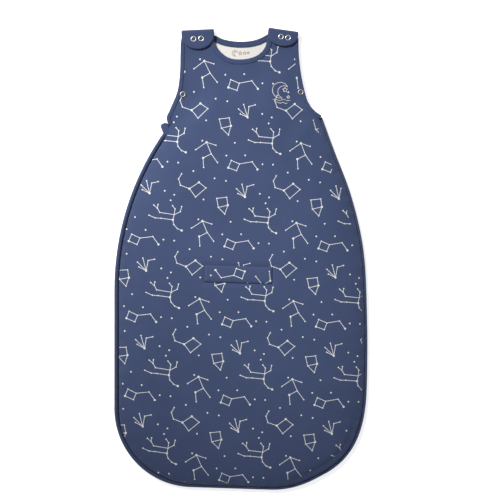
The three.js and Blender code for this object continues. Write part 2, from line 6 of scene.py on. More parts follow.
import json
import math

import bpy
import numpy as np
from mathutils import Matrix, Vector, noise
from mathutils.geometry import delaunay_2d_cdt
from mathutils.kdtree import KDTree

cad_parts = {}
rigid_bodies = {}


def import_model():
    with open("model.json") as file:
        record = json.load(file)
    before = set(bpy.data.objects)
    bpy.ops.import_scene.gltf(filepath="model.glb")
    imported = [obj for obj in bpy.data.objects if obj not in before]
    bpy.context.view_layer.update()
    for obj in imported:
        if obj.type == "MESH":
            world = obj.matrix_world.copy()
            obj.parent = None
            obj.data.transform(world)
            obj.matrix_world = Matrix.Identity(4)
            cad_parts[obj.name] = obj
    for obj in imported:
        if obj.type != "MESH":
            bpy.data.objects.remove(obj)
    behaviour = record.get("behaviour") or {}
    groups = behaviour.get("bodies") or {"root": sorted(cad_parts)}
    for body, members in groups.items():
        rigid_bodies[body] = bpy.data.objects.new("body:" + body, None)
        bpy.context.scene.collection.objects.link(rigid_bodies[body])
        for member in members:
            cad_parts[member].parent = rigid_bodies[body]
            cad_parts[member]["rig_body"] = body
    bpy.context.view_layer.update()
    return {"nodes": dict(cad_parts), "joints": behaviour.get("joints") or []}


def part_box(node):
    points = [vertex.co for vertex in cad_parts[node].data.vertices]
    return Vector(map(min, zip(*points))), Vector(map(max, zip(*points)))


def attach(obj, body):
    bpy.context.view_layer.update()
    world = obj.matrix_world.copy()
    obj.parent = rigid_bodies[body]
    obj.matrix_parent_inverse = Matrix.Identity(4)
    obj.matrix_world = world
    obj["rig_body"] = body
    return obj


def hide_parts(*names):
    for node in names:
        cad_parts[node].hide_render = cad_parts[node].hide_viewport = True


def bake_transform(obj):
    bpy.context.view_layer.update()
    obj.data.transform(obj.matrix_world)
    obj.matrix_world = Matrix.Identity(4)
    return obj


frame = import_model()
MM = 0.001

# ---- sizes
MESH_STEP = 4.6  # spacing of the cloth's points
EDGE_STEP = 3.4  # spacing of points along an edge
SWEEP_STEP = 2.4  # spacing of sections along a binding, a roll or a tape
QUILT = 5.2  # front or back, all three layers
FRONT_AT_SEAM = 12.8  # top of the front where it meets its seams
RISE = 19.0  # how far the middle of the front stands above that
SIDE_REACH = 95.0
BAND = 8.4  # width of the rolled band outside the zip
RIM_INSET = 9.0  # the front's rim, in from the outer edge along the zip
FOOT_INSET = 6.0  # the same along the bottom, where the groove closes
SEAM_INSET = 5.0  # the same along the plain side
WELT = 1.9  # thickness of the front's rim where it covers the zip
ZIP_LINE = 13.2  # the zip chain's line, in from the outer edge
COIL_PITCH = 1.9
SNAP_OUTER = 5.5
SNAP_HOLE = 3.5
FLAP = 4.0  # thickness of a shoulder flap
FLAP_FOOT = 2.7  # height of its middle under the fold, where it is part of the back's strap
COVER = 1.7  # thickness of the belt slot's cover
GARAGE = 2.4  # thickness of the tab over the zip's end
CORNER_ANGLE = 30.0  # an outline turns sharper than this only at a real corner

# ---- colours, linear
NAVY = (0.039, 0.057, 0.124)
NAVY_TRIM = (0.038, 0.055, 0.121)
PRINT_WHITE = (0.66, 0.66, 0.65)
IVORY = (0.62, 0.60, 0.565)
TAUPE = (0.42, 0.39, 0.34)


# ---- outlines from the frame
def rims(node):
    """The closed lines where a sheet's top meets its side walls, as arrays of (x, y), longest first."""
    mesh = frame["nodes"][node].data

    def corner(index):
        return tuple(round(c / MM, 3) for c in mesh.vertices[index].co)

    walls, tops = set(), []
    for face in mesh.polygons:
        corners = [corner(i) for i in face.vertices]
        sides = list(zip(corners, corners[1:] + corners[:1]))
        if face.normal.z > 0.3:
            tops += sides
        elif abs(face.normal.z) < 0.05:
            walls.update(sides)
    follow = {a: b for a, b in tops if (b, a) in walls}
    loops = []
    while follow:
        start, here = follow.popitem()
        loop = [start]
        while here != start and here in follow:
            loop.append(here)
            here = follow.pop(here)
        loops.append(np.array(loop)[:, :2])
    return sorted(loops, key=perimeter, reverse=True)


def perimeter(loop):
    return float(np.linalg.norm(loop - np.roll(loop, -1, axis=0), axis=1).sum())


def lengths(points):
    """Distance along an open line to each of its points."""
    return np.concatenate([[0.0], np.cumsum(np.linalg.norm(np.diff(points, axis=0), axis=1))])


def between(t, start, stop, a, b):
    """The value at t on the straight line from a at start to b at stop."""
    return (stop - t) / (stop - start) * a + (t - start) / (stop - start) * b


def smooth(points, step):
    """A round curve through an open line's points, sampled at about one step."""
    points = np.asarray(points, float)
    if len(points) < 3:
        return resample(points, step)
    padded = np.vstack([2 * points[0] - points[1], points, 2 * points[-1] - points[-2]])
    fine = []
    for p0, p1, p2, p3 in zip(padded, padded[1:], padded[2:], padded[3:]):
        gaps = [max(np.linalg.norm(b - a), 1e-6) ** 0.5 for a, b in ((p0, p1), (p1, p2), (p2, p3))]
        t0, t1, t2, t3 = np.cumsum([0.0] + gaps)
        for t in np.linspace(t1, t2, 9)[:-1]:
            a1, a2, a3 = between(t, t0, t1, p0, p1), between(t, t1, t2, p1, p2), between(t, t2, t3, p2, p3)
            b1, b2 = between(t, t0, t2, a1, a2), between(t, t1, t3, a2, a3)
            fine.append(between(t, t1, t2, b1, b2))
    fine.append(points[-1])
    return resample(np.array(fine), step)


def resample(points, step):
    """An open line's points at equal steps, with both ends kept."""
    along = lengths(points)
    count = max(1, round(along[-1] / step))
    return read_along(points, along, np.linspace(0, along[-1], count + 1))


def read_along(values, along, places):
    """Columns of values read at places on a line, when the rows' own distances along it are known."""
    return np.column_stack([np.interp(places, along, column) for column in values.T])


def closed(loop):
    """A loop with its first point repeated at the end."""
    return np.vstack([loop, loop[:1]])


def straight_runs(corners, step):
    """Points at about one step along the straight lines between corners, without the last corner."""
    return np.vstack([resample(np.array([a, b]), step)[:-1] for a, b in zip(corners, corners[1:])])


def split_at_corners(loop):
    """An outline's runs between its sharp corners, in order."""
    ahead = np.roll(loop, -1, axis=0) - loop
    behind = loop - np.roll(loop, 1, axis=0)
    turn = np.degrees(np.abs(np.arctan2(
        behind[:, 0] * ahead[:, 1] - behind[:, 1] * ahead[:, 0], (behind * ahead).sum(axis=1))))
    corners = np.flatnonzero(turn > CORNER_ANGLE)
    runs = []
    for a, b in zip(corners, np.roll(corners, -1)):
        stop = b if b > a else b + len(loop)
        runs.append(loop[np.arange(a, stop + 1) % len(loop)])
    return runs


def anticlockwise(loop):
    area = (loop[:, 0] * np.roll(loop[:, 1], -1) - loop[:, 1] * np.roll(loop[:, 0], -1)).sum()
    return loop if area > 0 else loop[::-1]


def tidy_loop(loop):
    """An outline without doubled points."""
    keep = np.linalg.norm(loop - np.roll(loop, 1, axis=0), axis=1) > 0.05
    return anticlockwise(loop[keep])


def inward(line):
    """Unit normals to the left of an open line's direction."""
    way = np.gradient(line, axis=0)
    way /= np.linalg.norm(way, axis=1)[:, None]
    return np.column_stack([-way[:, 1], way[:, 0]])


def inset(line, distance):
    return line + inward(line) * distance


# ---- the bag's lines
def hinge_of(name):
    """A joint's place in millimetres and its direction in plan."""
    joint = next(j for j in frame["joints"] if j["name"] == name)
    return np.array(joint["pos_m"]) / MM, -np.array(joint["axis"][:2])


FOLD_AT, FOLD_WAY = hinge_of("front_corner_open")
FOLD_AT = FOLD_AT[:2]
FOLD_OUT = np.array([FOLD_WAY[1], -FOLD_WAY[0]])  # out over the corner


def front_outline():
    """The staying front and the opening corner as one outline."""
    chains = []
    for node in ("front_outer_shell", "corner_outer_shell"):
        loop = tidy_loop(rims(node)[0])
        off_fold = np.abs((loop - FOLD_AT) @ FOLD_OUT) > 1.2
        first = next(i for i in range(len(loop)) if off_fold[i] and not off_fold[i - 1])
        order = np.roll(np.arange(len(loop)), -first)
        chains.append(np.array([loop[i] for i in order if off_fold[i]]))
    return anticlockwise(np.vstack(chains))


BACK_RUNS = split_at_corners(tidy_loop(rims("back_outer_shell")[0]))
FRONT_RUNS = split_at_corners(front_outline())


def run_near(runs, x, y):
    """The run that passes nearest a place."""
    return min(runs, key=lambda run: np.linalg.norm(run - [x, y], axis=1).min())


def middle(node):
    low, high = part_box(node)
    return np.array([(low.x + high.x) / 2, (low.y + high.y) / 2]) / MM


def top_of(node):
    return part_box(node)[1].z / MM


FRONT_NECK = run_near(FRONT_RUNS, 0, 383)
RIGHT_ARMHOLE = run_near(BACK_RUNS, 121, 326)
LEFT_ARMHOLE = run_near(BACK_RUNS, -122, 322)
OUTER_ZIP = smooth(run_near(BACK_RUNS, -244, -110), 3.0)
PIPING = (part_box("closed_side_piping")[1].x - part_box("back_outer_shell")[1].x) / MM
OUTER_CLOSED = smooth(inset(run_near(BACK_RUNS, 240, -110), -PIPING), 3.0)
ZIP_LENGTH = lengths(OUTER_ZIP)[-1]
FRONT_CLOSED_AT, FRONT_ZIP_AT = (
    next(i for i, run in enumerate(FRONT_RUNS) if run is run_near(FRONT_RUNS, x, -110)) for x in (244, -227))
SIDES = ("left", "right")
SHOULDERS = {side: middle(f"{side}_shoulder_flap") + [0, 18] for side in SIDES}
UNDERARMS = {side: middle(f"{side}_underarm_snap_cap") for side in SIDES}
BELT = middle("belt_flap")
BELT_TILT = math.radians(-1.6)
BELT_HALF = (65.2, 16.2)
UNDER_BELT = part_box("belt_flap_loop_strip")[0].z / MM - 0.15  # the front's height under the cover
BESIDE_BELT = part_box("belt_flap")[0].z / MM - 0.3  # and at least beside it


def near_line(points, lines):
    """Distance to the nearest of some open lines, and how far along that line it is."""
    samples, along = [], []
    for line in lines:
        fine = resample(line, 0.8)
        samples.append(fine)
        along.append(lengths(fine))
    samples, along = np.vstack(samples), np.concatenate(along)
    tree = KDTree(len(samples))
    for i, (x, y) in enumerate(samples):
        tree.insert((x, y, 0), i)
    tree.balance()
    found = [tree.find((x, y, 0)) for x, y in points]
    return np.array([f[2] for f in found]), along[[f[1] for f in found]]


def off_line(points, line):
    """Distance to one open line."""
    return near_line(points, [line])[0]


def ease(t):
    """A smooth step from 0 to 1 as t goes from 0 to 1."""
    t = np.clip(t, 0, 1)
    return t * t * (3 - 2 * t)


def arch(distance, reach):
    """A quarter circle's height, 0 at no distance and 1 from its reach on."""
    return np.sqrt(1 - (1 - np.clip(distance / reach, 0, 1)) ** 2)


def zip_rim():
    """The front's edge over the zip: it leaves the armhole, runs beside the groove and closes it at the foot."""
    along = lengths(OUTER_ZIP)
    foot = ease((OUTER_ZIP[:, 0] + 165) / 80) * (OUTER_ZIP[:, 1] < -250)
    depth = RIM_INSET + (FOOT_INSET - RIM_INSET) * foot
    depth = 1.5 + (depth - 1.5) * ease((along + 2) / 30)
    return resample(OUTER_ZIP + inward(OUTER_ZIP) * depth[:, None], EDGE_STEP)


def seam_depth(along):
    return FOOT_INSET + (SEAM_INSET - FOOT_INSET) * ease((along - 200) / 260)


def closed_rim():
    """The front's edge beside the plain seam."""
    depth = seam_depth(lengths(OUTER_CLOSED))
    return resample(OUTER_CLOSED + inward(OUTER_CLOSED) * depth[:, None], EDGE_STEP)


def hum(points, size, seed):
    """Smooth noise of about one feature per size, from -1 to 1."""
    return np.array([noise.noise((x / size, y / size, seed)) for x, y in points])


# ---- cloth, cut flat
class Cloth:
    """A flat cut of cloth: its points, its triangles, and each point's distance from the cut edge."""

    def __init__(self, loop, holes=(), step=MESH_STEP, rings=(0.7, 1.7, 3.2)):
        loop = tidy_loop(loop)
        holes = [tidy_loop(hole)[::-1] for hole in holes]
        edges = [closed(line) for line in (loop, *holes)]
        border = np.vstack([line[:-1] for line in edges])
        ringed = np.vstack([line[:-1] + inward(line)[:-1] * depth for line in edges for depth in rings])
        ringed_depth = np.concatenate([np.full(len(line) - 1, depth) for line in edges for depth in rings])
        low, high = loop.min(axis=0), loop.max(axis=0)
        grid = np.array([
            (x, y) for i, y in enumerate(np.arange(low[1], high[1], step * 0.866))
            for x in np.arange(low[0] + (i % 2) * step / 2, high[0], step)])
        offered = np.vstack([ringed, grid])
        needed = np.concatenate([ringed_depth * 0.9, np.full(len(grid), rings[-1] + step * 0.45)])
        kept = inside(offered, loop)
        for hole in holes:
            kept &= ~inside(offered, hole)
        offered, needed = offered[kept], needed[kept]
        offered = offered[near_line(offered, edges)[0] > needed]
        points = np.vstack([border, offered])
        links, start = [], 0
        for line in edges:
            count = len(line) - 1
            links += [(start + i, start + (i + 1) % count) for i in range(count)]
            start += count
        found, _, faces, *_ = delaunay_2d_cdt([Vector(p) for p in points], links, [], 0, 1e-5)
        found, faces = np.array([tuple(v) for v in found]), np.array(faces)
        centres = found[faces].mean(axis=1)
        keep = inside(centres, loop)
        for hole in holes:
            keep &= ~inside(centres, hole)
        used, renumbered = np.unique(faces[keep], return_inverse=True)
        self.points, self.triangles = found[used], renumbered.reshape(-1, 3)
        self.edge = near_line(self.points, edges)[0]
        sides = np.sort(np.vstack([self.triangles[:, pair] for pair in ((0, 1), (1, 2), (2, 0))]), axis=1)
        sides, uses = np.unique(sides, axis=0, return_counts=True)
        self.rim = np.zeros(len(self.points), bool)
        self.rim[sides[uses == 1]] = True
        self.edge[self.rim] = 0


def inside(points, loop):
    x, y = points[:, 0], points[:, 1]
    odd = np.zeros(len(points), bool)
    for (ax, ay), (bx, by) in zip(loop, np.roll(loop, -1, axis=0)):
        if ay != by:
            odd ^= ((ay > y) != (by > y)) & (x < (bx - ax) * (y - ay) / (by - ay) + ax)
    return odd


def outline_points(runs):
    """Runs that follow one another, as one line's points without its last."""
    return np.vstack([smooth(run, EDGE_STEP)[:-1] for run in runs])


def add_object(name, data):
    obj = bpy.data.objects.new(name, data)
    bpy.context.scene.collection.objects.link(obj)
    return obj


def add_mesh(name, points, faces, materials, face_material=None, print_at=None):
    """A smooth-shaded mesh from millimetres. print_at gives each point's place on the flat cloth."""
    mesh = bpy.data.meshes.new(name)
    mesh.from_pydata((np.asarray(points) * MM).tolist(), [], [tuple(int(i) for i in face) for face in faces])
    mesh.polygons.foreach_set("use_smooth", [True] * len(mesh.polygons))
    for material in materials:
        mesh.materials.append(material)
    if face_material is not None:
        mesh.polygons.foreach_set("material_index", face_material)
    if print_at is not None:
        layer = mesh.uv_layers.new(name="cloth")
        corners = np.zeros(len(mesh.loops), int)
        mesh.loops.foreach_get("vertex_index", corners)
        layer.data.foreach_set("uv", (np.asarray(print_at)[corners] * MM).ravel())
    mesh.validate()
    return add_object(name, mesh)


def quilt(name, cloth, place, thickness, roll, materials, print_at=None, plain=None):
    """A closed padded sheet: place(points, offset) puts the cloth's two faces in space, and its edge is rounded.

    Its outer face takes the first material, or the second at the points marked plain.
    """
    half = thickness / 2 * arch(cloth.edge, roll)
    free = ~cloth.rim
    top = place(cloth.points, half)
    bottom = place(cloth.points, -half)
    lower = np.where(free, len(cloth.points) + np.cumsum(free) - 1, np.arange(len(cloth.points)))
    points = np.vstack([top, bottom[free]])
    faces = np.vstack([cloth.triangles, lower[cloth.triangles][:, ::-1]])
    kind = np.repeat([0, len(materials) - 1], len(cloth.triangles))
    if plain is not None:
        kind[: len(cloth.triangles)] = plain[cloth.triangles].sum(axis=1) > 1
    at = cloth.points if print_at is None else print_at
    return add_mesh(name, points, faces, materials, kind, np.vstack([at, at[free]]))


def sweep(name, line, heights, section, material, taper=0.0, widths=None):
    """A closed section, as (inset, height) points, carried along a plan line at the given heights."""
    aside = inward(line)
    along = lengths(line)
    shrink = np.ones(len(line))
    if taper:
        shrink = arch(np.minimum(along, along[-1] - along) + 0.2, taper)
    section = np.asarray(section, float)
    centre = section.mean(axis=0)
    points, at = [], []
    girth = np.concatenate([[0], np.cumsum(np.linalg.norm(np.diff(section, axis=0), axis=1))])
    for i, (x, y) in enumerate(line):
        ring = centre + (section - centre) * [1, shrink[i]]
        if widths is not None:
            ring = ring * [widths[i], 1]
        for (depth, height), around in zip(ring, girth):
            points.append((x + aside[i, 0] * depth, y + aside[i, 1] * depth, heights[i] + height))
            at.append((along[i], around))
    return closed_mesh(name, points, tube_faces(0, len(line), len(section)), material, at)


def tube_faces(first, rings, sides):
    """The faces of a tube with closed ends, whose rings of points follow one another from a first point."""
    faces = []
    for ring in range(rings - 1):
        for k in range(sides):
            a, b = first + ring * sides + k, first + ring * sides + (k + 1) % sides
            faces.append((a, a + sides, b + sides, b))
    last = first + (rings - 1) * sides
    return faces + [tuple(range(first, first + sides)), tuple(reversed(range(last, last + sides)))]


def closed_mesh(name, points, faces, material, print_at):
    """A closed mesh of one material, right side out."""
    obj = add_mesh(name, points, faces, [material], print_at=print_at)
    mesh = obj.data
    co = np.zeros(len(mesh.vertices) * 3)
    mesh.vertices.foreach_get("co", co)
    co = co.reshape(-1, 3)
    mesh.calc_loop_triangles()
    tri = np.array([t.vertices for t in mesh.loop_triangles])
    a, b, c = co[tri[:, 0]], co[tri[:, 1]], co[tri[:, 2]]
    if (a * np.cross(b, c)).sum() < 0:
        mesh.flip_normals()
    return obj


def rounded(width, height, radius, base_depth, per_corner=2):
    """A rounded rectangle that starts at a depth, as (inset, height) points."""
    points = []
    for cx, cy, start in ((width - radius, radius, -90), (width - radius, height - radius, 0),
                          (radius, height - radius, 90), (radius, radius, 180)):
        for k in range(per_corner + 1):
            angle = math.radians(start + 90 * k / per_corner)
            points.append((base_depth + cx + radius * math.cos(angle), cy + radius * math.sin(angle)))
    return points


# ---- the front's shape
ZIP_RIM, CLOSED_RIM = zip_rim(), closed_rim()


def front_top(points):
    """Height of the front's outer face over places in plan, before the edge is rounded."""
    side, along = near_line(points, [ZIP_RIM, CLOSED_RIM])
    over_zip = 0.6 * (1 - ease(off_line(points, ZIP_RIM) / 16))
    shoulder = np.min([np.linalg.norm((points - at) * [0.8, 1], axis=1) for at in SHOULDERS.values()], axis=0)
    snap = np.min([np.linalg.norm(points - at, axis=1) for at in UNDERARMS.values()], axis=0)
    neck = off_line(points, FRONT_NECK)
    armhole = near_line(points, [RIGHT_ARMHOLE, LEFT_ARMHOLE])[0]
    stand = arch(side, SIDE_REACH) * ease((shoulder - 34) / 130) * (0.15 + 0.85 * ease((snap - 8) / 60))
    stand *= 0.35 + 0.65 * ease(neck / 110)
    stand *= 0.55 + 0.45 * ease(armhole / 70)
    belt = ease((np.abs((points - BELT) * [0.75, 1.6]).max(axis=1) - 45) / 40)
    soft = ease(side / 60) * ease((shoulder - 20) / 60)
    folds = 1.7 * hum(points, 120, 2.3) + 0.8 * hum(points * [1.35, 0.8], 46, 7.1)
    pucker = np.exp(-side / 11) * (0.9 * np.sin(along / 4.6 + 2.2 * np.sin(along / 37)) * ease(side / 3))
    height = FRONT_AT_SEAM + over_zip + RISE * stand + folds * soft * belt * 0.8 + pucker + creases(points) * belt
    height -= corner_dip(points)
    beside = belt_distance(points)
    around = height + np.maximum(BESIDE_BELT - height, 0) * (1 - ease((beside - 8) / 50))
    return UNDER_BELT + (around - UNDER_BELT) * ease((beside + 2) / 10)


def belt_distance(points):
    """How far places are outside the belt slot's cover, and less than nothing under it."""
    cos, sin = math.cos(BELT_TILT), math.sin(BELT_TILT)
    turn = np.array([[cos, -sin], [sin, cos]])
    return (np.abs((points - BELT) @ turn) - BELT_HALF).max(axis=1)


def corner_dip(points):
    """The soft fold that runs inside the plain seam round the lower corner."""
    side, along = near_line(points, [CLOSED_RIM])
    strength = ease((along - 30) / 60) * (1 - ease((along - 190) / 120))
    return 3.4 * strength * np.exp(-(((side - 10.5) / 4.6) ** 2))


def creases(points):
    """A few long shallow creases, each from a place, in a direction, with a length, width and height."""
    drawn = (
        (-150, 215, -62, 95, 11, 2.0), (-118, 235, -48, 130, 14, 1.3), (135, 262, -124, 120, 13, 1.7),
        (112, 285, -150, 80, 9, 1.2), (-96, 372, -78, 70, 9, 1.0), (92, 380, -104, 76, 9, 0.9),
        (-185, 152, -72, 60, 9, 1.7), (-117, 132, -88, 52, 8, 1.2), (-124, 246, -66, 60, 8, 1.5),
        (-222, -212, -86, 55, 9, 1.5), (-170, -212, -112, 62, 10, 1.2), (-205, -260, 24, 110, 15, 1.1),
        (190, -330, 140, 120, 16, 1.2), (-40, 352, -70, 90, 16, -0.9),
    )
    total = np.zeros(len(points))
    for x, y, angle, length, width, height in drawn:
        cos, sin = math.cos(math.radians(angle)), math.sin(math.radians(angle))
        local = points - [x, y]
        u = local @ np.array([cos, sin])
        v = local @ [-sin, cos] + 0.0012 * u * u
        total += height * np.exp(-((v / width) ** 2)) * ease(u / 18 + 0.6) * (1 - ease(u / length))
    return total


# ---- materials
def new_material(name, color, roughness, metallic=0.0, sheen=0.0):
    material = bpy.data.materials.new(name)
    material.use_nodes = True
    for socket, value in (
        ("Base Color", (*color, 1)), ("Roughness", roughness), ("Metallic", metallic), ("Sheen Weight", sheen),
        ("Sheen Roughness", 0.5), ("Specular IOR Level", 0.5 if metallic else 0.22),
    ):
        shader_of(material)[socket].default_value = value
    return material


def shader_of(material):
    """The inputs of a material's shader."""
    return material.node_tree.nodes["Principled BSDF"].inputs


class Nodes:
    """Short calls for building one material's node tree."""

    def __init__(self, tree):
        self.tree = tree

    def add(self, kind, **settings):
        node = self.tree.nodes.new(kind)
        for key, value in settings.items():
            setattr(node, key, value)
        return node

    def set(self, socket, value):
        if isinstance(value, bpy.types.NodeSocket):
            self.tree.links.new(value, socket)
        else:
            socket.default_value = value

    def feed(self, node, values):
        """Sets or links a node's inputs: a tuple in the inputs' own order, or a dict by name."""
        for key, value in values.items() if isinstance(values, dict) else enumerate(values):
            self.set(node.inputs[key], value)
        return node

    def math(self, operation, *values):
        return self.feed(self.add("ShaderNodeMath", operation=operation), values).outputs[0]

    def vector(self, operation, *values):
        node = self.feed(self.add("ShaderNodeVectorMath", operation=operation), values)
        return node.outputs["Value"] if operation in ("DOT_PRODUCT", "LENGTH", "DISTANCE") else node.outputs[0]

    def scaled(self, vector, factor):
        node = self.add("ShaderNodeVectorMath", operation="SCALE")
        return self.feed(node, {0: vector, "Scale": factor}).outputs[0]

    def noise(self, vector, scale, detail=2.0, roughness=0.5):
        values = {"Vector": vector, "Scale": scale, "Detail": detail, "Roughness": roughness}
        return self.feed(self.add("ShaderNodeTexNoise"), values).outputs["Fac"]

    def mix(self, factor, a, b):
        node = self.add("ShaderNodeMix", data_type="RGBA")
        return self.feed(node, {"Factor": factor, "A": a, "B": b}).outputs["Result"]

    def span(self, value, low, high, to_low=0.0, to_high=1.0):
        node = self.feed(self.add("ShaderNodeMapRange"), (value, low, high, to_low, to_high))
        return node.outputs["Result"]

    def bump(self, height, strength, distance):
        values = {"Strength": strength, "Distance": distance * MM, "Height": height}
        return self.feed(self.add("ShaderNodeBump"), values).outputs["Normal"]


def cloth_place(nodes):
    """The place on the flat cloth, in metres."""
    return nodes.add("ShaderNodeUVMap", uv_map="cloth").outputs["UV"]


def knit_height(nodes, place, pitch):
    """Fine rows of stitches: 0 in the valleys and 1 on the yarn."""
    parts = nodes.add("ShaderNodeSeparateXYZ")
    nodes.set(parts.inputs[0], place)
    across = nodes.math("MULTIPLY", parts.outputs["X"], 2 * math.pi / (pitch * MM))
    down = nodes.math("MULTIPLY", parts.outputs["Y"], 2 * math.pi / (pitch * 0.8 * MM))
    ribs = nodes.math("SINE", across)
    half_rib = nodes.math("SINE", nodes.math("MULTIPLY", across, 0.5))
    lean = nodes.math("MULTIPLY", nodes.math("ABSOLUTE", half_rib), 2.0)
    rows = nodes.math("SINE", nodes.math("ADD", down, lean))
    return nodes.math("MULTIPLY_ADD", nodes.math("MULTIPLY", ribs, rows), 0.35, 0.5)


def finish_cloth(material, nodes, place, color, pitch, depth):
    """Gives a cloth its colour, its stitches and its faint unevenness."""
    shader = shader_of(material)
    knit = knit_height(nodes, place, pitch)
    soft = nodes.noise(place, 260.0, 4.0, 0.6)
    height = nodes.math("ADD", nodes.math("MULTIPLY", knit, 0.7), nodes.math("MULTIPLY", soft, 0.9))
    nodes.set(shader["Normal"], nodes.bump(height, 0.55, depth))
    nodes.set(shader["Base Color"], color)
    nodes.set(shader["Roughness"], nodes.span(nodes.noise(place, 38.0), 0.3, 0.7, 0.82, 0.94))


def uneven(nodes, place, color, share=0.10):
    """A dyed colour that varies a little over the cloth and in its yarns."""
    dark = tuple(c * (1 - share) for c in color)
    light = tuple(c * (1 + share) for c in color)
    broad = nodes.span(nodes.noise(place, 9.0, 3.0), 0.3, 0.7)
    fine = nodes.span(nodes.noise(place, 900.0, 2.0), 0.25, 0.75)
    blend = nodes.math("ADD", nodes.math("MULTIPLY", broad, 0.6), nodes.math("MULTIPLY", fine, 0.4))
    return nodes.mix(blend, (*dark, 1), (*light, 1))


def plain_cloth(name, color, pitch=0.9, depth=0.25, sheen=0.08):
    material = new_material(name, color, 0.88, sheen=sheen)
    nodes = Nodes(material.node_tree)
    place = cloth_place(nodes)
    finish_cloth(material, nodes, place, uneven(nodes, place, color), pitch, depth)
    return material


# ---- the star-line print
TILE = (180.0, 150.0)
LINE_HALF = 0.55
STAR, BIG_STAR, LONE_STAR = 1.3, 2.05, 1.55
# Where the print falls on the sewn bag: a row's number and height, its first column's x, the width of a repeat, and
# how far the row drops for each millimetre to the right. The cloth is eased a little towards the shoulders.
PRINT_ROWS = (
    (-4, -528, -87, 180, 0.026), (-3, -377, -85.5, 180, 0.026), (-2, -226.5, -81.5, 180, 0.027),
    (-1, -77, -79.5, 180, 0.025), (0, 72, -74, 180.5, 0.02), (1, 223, -66, 181, 0.01),
    (1.5, 300, -67.5, 181.5, 0.004), (2, 381.5, -71, 183, 0.0), (3, 539, -71, 183, 0.0),
)
FIGURES = (
    (
        ((-20, -14.5), (0, 0), (18, -5.5)),
        ((0, 0), (10, -22), (23, -38.5)),
        ((10, -22), (-5, -30), (-3, -48)),
    ),
    (
        ((44, -48), (49, -34), (65, -40.5), (60, -53.5), (44, -48)),
        ((65, -40.5), (89, -36), (100, -50.5)),
    ),
    (
        ((-43.5, -62), (-48.5, -72), (-44.5, -84), (-27.5, -89.5), (-10.5, -76.5), (3.5, -87), (-15.5, -104.5),
         (-27.5, -89.5)),
    ),
    (
        ((79, -103), (62, -87.5)),
        ((79, -103), (72, -79)),
        ((79, -103), (65, -96.5)),
        ((79, -103), (82, -83), (94, -79.5)),
    ),
    (
        ((25, -106.5), (44, -104), (47, -119), (42, -136), (29, -123.5), (25, -106.5)),
        ((29, -123.5), (47, -119)),
    ),
    (
        ((88, 25), (95, 19.5), (100, 11.5), (127, 9), (138, 15.5), (140, 25.5)),
        ((96, 26.5), (95, 19.5)),
        ((127, 9), (128, 20), (123, 26)),
        ((127, 9), (125, -1), (103, 0.5), (92, 0.5), (80, 5)),
        ((125, -1), (127, -10), (134, -17.5), (142, -20.5)),
    ),
)
BIG_STARS = (
    (0, 0), (-5, -30), (44, -48), (100, -50.5), (-27.5, -89.5), (-10.5, -76.5), (79, -103), (47, -119),
    (125, -1), (142, -20.5),
)
LONE_STARS = (
    (-8, 3), (-22, -55.5), (19, -68.5), (41, -73), (107, -96.5), (125, -103), (119, -114), (0, -109),
    (54, -0.5), (39, -25), (75, -24), (109, -40.5), (129, -41),
)


def print_place(points):
    """Places on the print for places on the bag, in millimetres."""
    rows, heights, *others = np.array(PRINT_ROWS).T
    beside_zip = np.maximum(0, -85 - points[:, 0])
    x = points[:, 0] + 0.032 * beside_zip
    y = points[:, 1] - 0.048 * beside_zip
    first, repeat, drop = (np.interp(y, heights, values) for values in others)
    level = y + drop * (x - first)
    return np.column_stack([(x - first) * TILE[0] / repeat, np.interp(level, heights, rows) * TILE[1]])


def repeats(points, margin=3.0):
    """The shifts of a tile that bring any of these points into the tile's own window."""
    shifts = []
    for values, size in zip(zip(*points), TILE):
        low, high = min(values) - size - margin, max(values) + margin
        shifts.append([k * size for k in (-1, 0, 1) if high + k * size > 0 and low + k * size < 0])
    return [(x, y) for x in shifts[0] for y in shifts[1]]


def print_mask(nodes, place):
    """1 on the print's lines and stars, and 0 on the ground."""
    size = (TILE[0] * MM, TILE[1] * MM, 1)
    wrapped = nodes.vector("WRAP", place, size, (0, 0, 0))
    at = nodes.scaled(wrapped, 1 / MM)
    lines = [line for figure in FIGURES for line in figure]
    masks = []
    for line in lines:
        for a, b in zip(line, line[1:]):
            for x, y in repeats((a, b)):
                masks.append(segment(nodes, at, (a[0] + x, a[1] + y), (b[0] + x, b[1] + y)))
    stars = {star: STAR for line in lines for star in line}
    stars.update({star: BIG_STAR for star in BIG_STARS})
    stars.update({star: LONE_STAR for star in LONE_STARS})
    for star, radius in stars.items():
        for x, y in repeats((star,)):
            off = nodes.vector("DISTANCE", at, (star[0] + x, star[1] + y, 0))
            masks.append(nodes.math("SUBTRACT", off, radius))
    nearest = masks[0]
    for mask in masks[1:]:
        nearest = nodes.math("MINIMUM", nearest, mask)
    return nodes.span(nearest, 0.15, -0.15)


def segment(nodes, at, a, b):
    """Distance outside a round-ended line from a to b."""
    (ax, ay), (bx, by) = a, b
    square = (bx - ax) ** 2 + (by - ay) ** 2
    from_a = nodes.vector("SUBTRACT", at, (ax, ay, 0))
    share = nodes.vector("DOT_PRODUCT", from_a, ((bx - ax) / square, (by - ay) / square, 0))
    share = nodes.math("MAXIMUM", nodes.math("MINIMUM", share, 1.0), 0.0)
    foot = nodes.scaled((bx - ax, by - ay, 0), share)
    return nodes.math("SUBTRACT", nodes.vector("DISTANCE", from_a, foot), LINE_HALF)


def printed_cloth():
    material = new_material("navy star-line cotton", NAVY, 0.88, sheen=0.07)
    nodes = Nodes(material.node_tree)
    place = cloth_place(nodes)
    ground = uneven(nodes, place, NAVY)
    ink = nodes.span(nodes.noise(place, 1400.0, 2.0), 0.2, 0.8, 0.80, 1.0)
    mask = nodes.math("MULTIPLY", print_mask(nodes, place), ink)
    color = nodes.mix(mask, ground, (*PRINT_WHITE, 1))
    finish_cloth(material, nodes, place, color, 0.9, 0.22)
    return material


